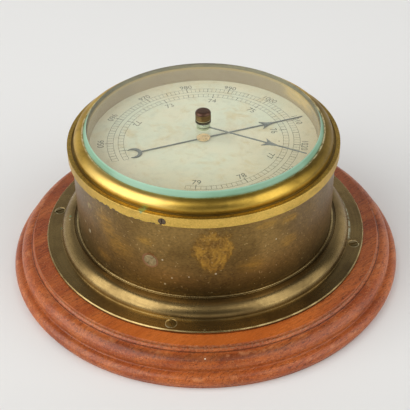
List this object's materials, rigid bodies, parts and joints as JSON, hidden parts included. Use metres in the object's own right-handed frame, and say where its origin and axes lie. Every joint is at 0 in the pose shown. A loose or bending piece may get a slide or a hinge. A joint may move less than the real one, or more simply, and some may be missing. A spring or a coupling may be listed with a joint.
{
  "type": "marine barometer",
  "caption": "Round brass bulkhead aneroid barometer on a turned wooden board, with a bevelled glass, a pressure hand and a set hand turned by a knob.",
  "frame": {"origin": "centre of the wooden board's flat back face", "axes": "+Z out of the back face and through the glass; +X to the right and +Y away from the camera in the reference picture"},
  "size_m": [0.254, 0.254, 0.11],
  "materials": {
    "mahogany": "polished, worn",
    "old_brass": "dull, darkened",
    "drum_brass": "brown patina with polished patches",
    "bezel_brass": "polished, lightly tarnished",
    "small_brass": "turned",
    "knob_brass": "darkened, knurled",
    "sight_brass": "matt, lacquered",
    "steel": "bright, slightly rusted",
    "blued_steel": "blued, faded",
    "glass": "bevelled plate",
    "dial_face": "silvered and aged, printed scales",
    "sealing": "dark seal",
    "capsule_metal": "thin corrugated sheet"
  },
  "bodies": {
    "case": {"base_board": "mahogany", "mounting_flange": "old_brass", "flange_screws": "old_brass", "case_drum": "drum_brass", "case_back": "drum_brass", "bezel": "bezel_brass", "bezel_screws": "steel", "bezel_glass": "glass", "glass_gasket": "sealing", "sight_ring": "sight_brass", "dial": "dial_face", "dial_screws": "small_brass", "dial_carrier": "old_brass", "carrier_screws": "small_brass", "main_plate": "old_brass", "plate_screws": "small_brass", "bridge_plate": "small_brass", "bridge_pillars": "small_brass", "bridge_screws": "steel", "lower_plate": "old_brass", "lower_pillars": "old_brass", "lower_screws": "steel", "capsule_foot": "small_brass", "aneroid_capsules": "capsule_metal", "rocker_brackets": "old_brass", "bracket_screws": "steel", "hairspring": "blued_steel", "hairspring_stud": "small_brass", "knob_washer": "sealing", "spring_washer": "small_brass"},
    "set_hand_group": {"set_hand": "blued_steel", "set_hand_nut": "small_brass", "set_spindle": "small_brass", "set_knob": "knob_brass"},
    "pointer_group": {"pointer_arbor": "steel", "hairspring_collet": "small_brass", "pointer": "blued_steel", "pointer_hub": "bezel_brass"},
    "sector_group": {"sector_gear": "small_brass", "sector_arbor": "steel", "sector_pin": "steel"},
    "rocker_group": {"rocking_shaft": "steel", "capsule_arm": "small_brass", "rocking_arm": "small_brass"},
    "capsule_top_group": {"capsule_stud": "small_brass", "capsule_link": "steel", "link_pin": "steel"},
    "adjuster_group": {"adjusting_screw": "small_brass"}
  },
  "joints": [
    {"name": "set_hand_turn", "type": "hinge", "parent": "case", "child": "set_hand_group", "pos_m": [0, 0, 0.103], "axis": [0, 0, 1], "continuous": true},
    {"name": "sector_turn", "type": "hinge", "parent": "case", "child": "sector_group", "pos_m": [-0.00235, -0.03342, 0.0753], "axis": [0, 0, 1], "range_deg": [-21.1, 14.5], "stiffness_Nm_per_rad": 0.13},
    {"name": "pointer_turn", "type": "hinge", "parent": "case", "child": "pointer_group", "pos_m": [0, 0, 0.0866], "axis": [0, 0, 1], "range_deg": [-124.4, 181]},
    {"name": "rocker_turn", "type": "hinge", "parent": "case", "child": "rocker_group", "pos_m": [-0.004, 0, 0.055], "axis": [0, 1, 0], "range_deg": [-21.2, 14.6]},
    {"name": "capsule_breathing", "type": "slide", "parent": "case", "child": "capsule_top_group", "axis": [0, 0, 1], "range_m": [-0.00102, 0.00148], "deforming": ["aneroid_capsules"]},
    {"name": "adjuster_turn", "type": "hinge", "parent": "case", "child": "adjuster_group", "pos_m": [0, 0, 0.028], "axis": [0, 0, 1], "range_deg": [-180, 180]}
  ],
  "couplings": [
    {"joint": "pointer_turn", "follows": "sector_turn", "ratio": -8.5714},
    {"joint": "rocker_turn", "follows": "sector_turn", "ratio": 1},
    {"joint": "capsule_breathing", "follows": "sector_turn", "m_per_rad": -0.004}
  ]
}
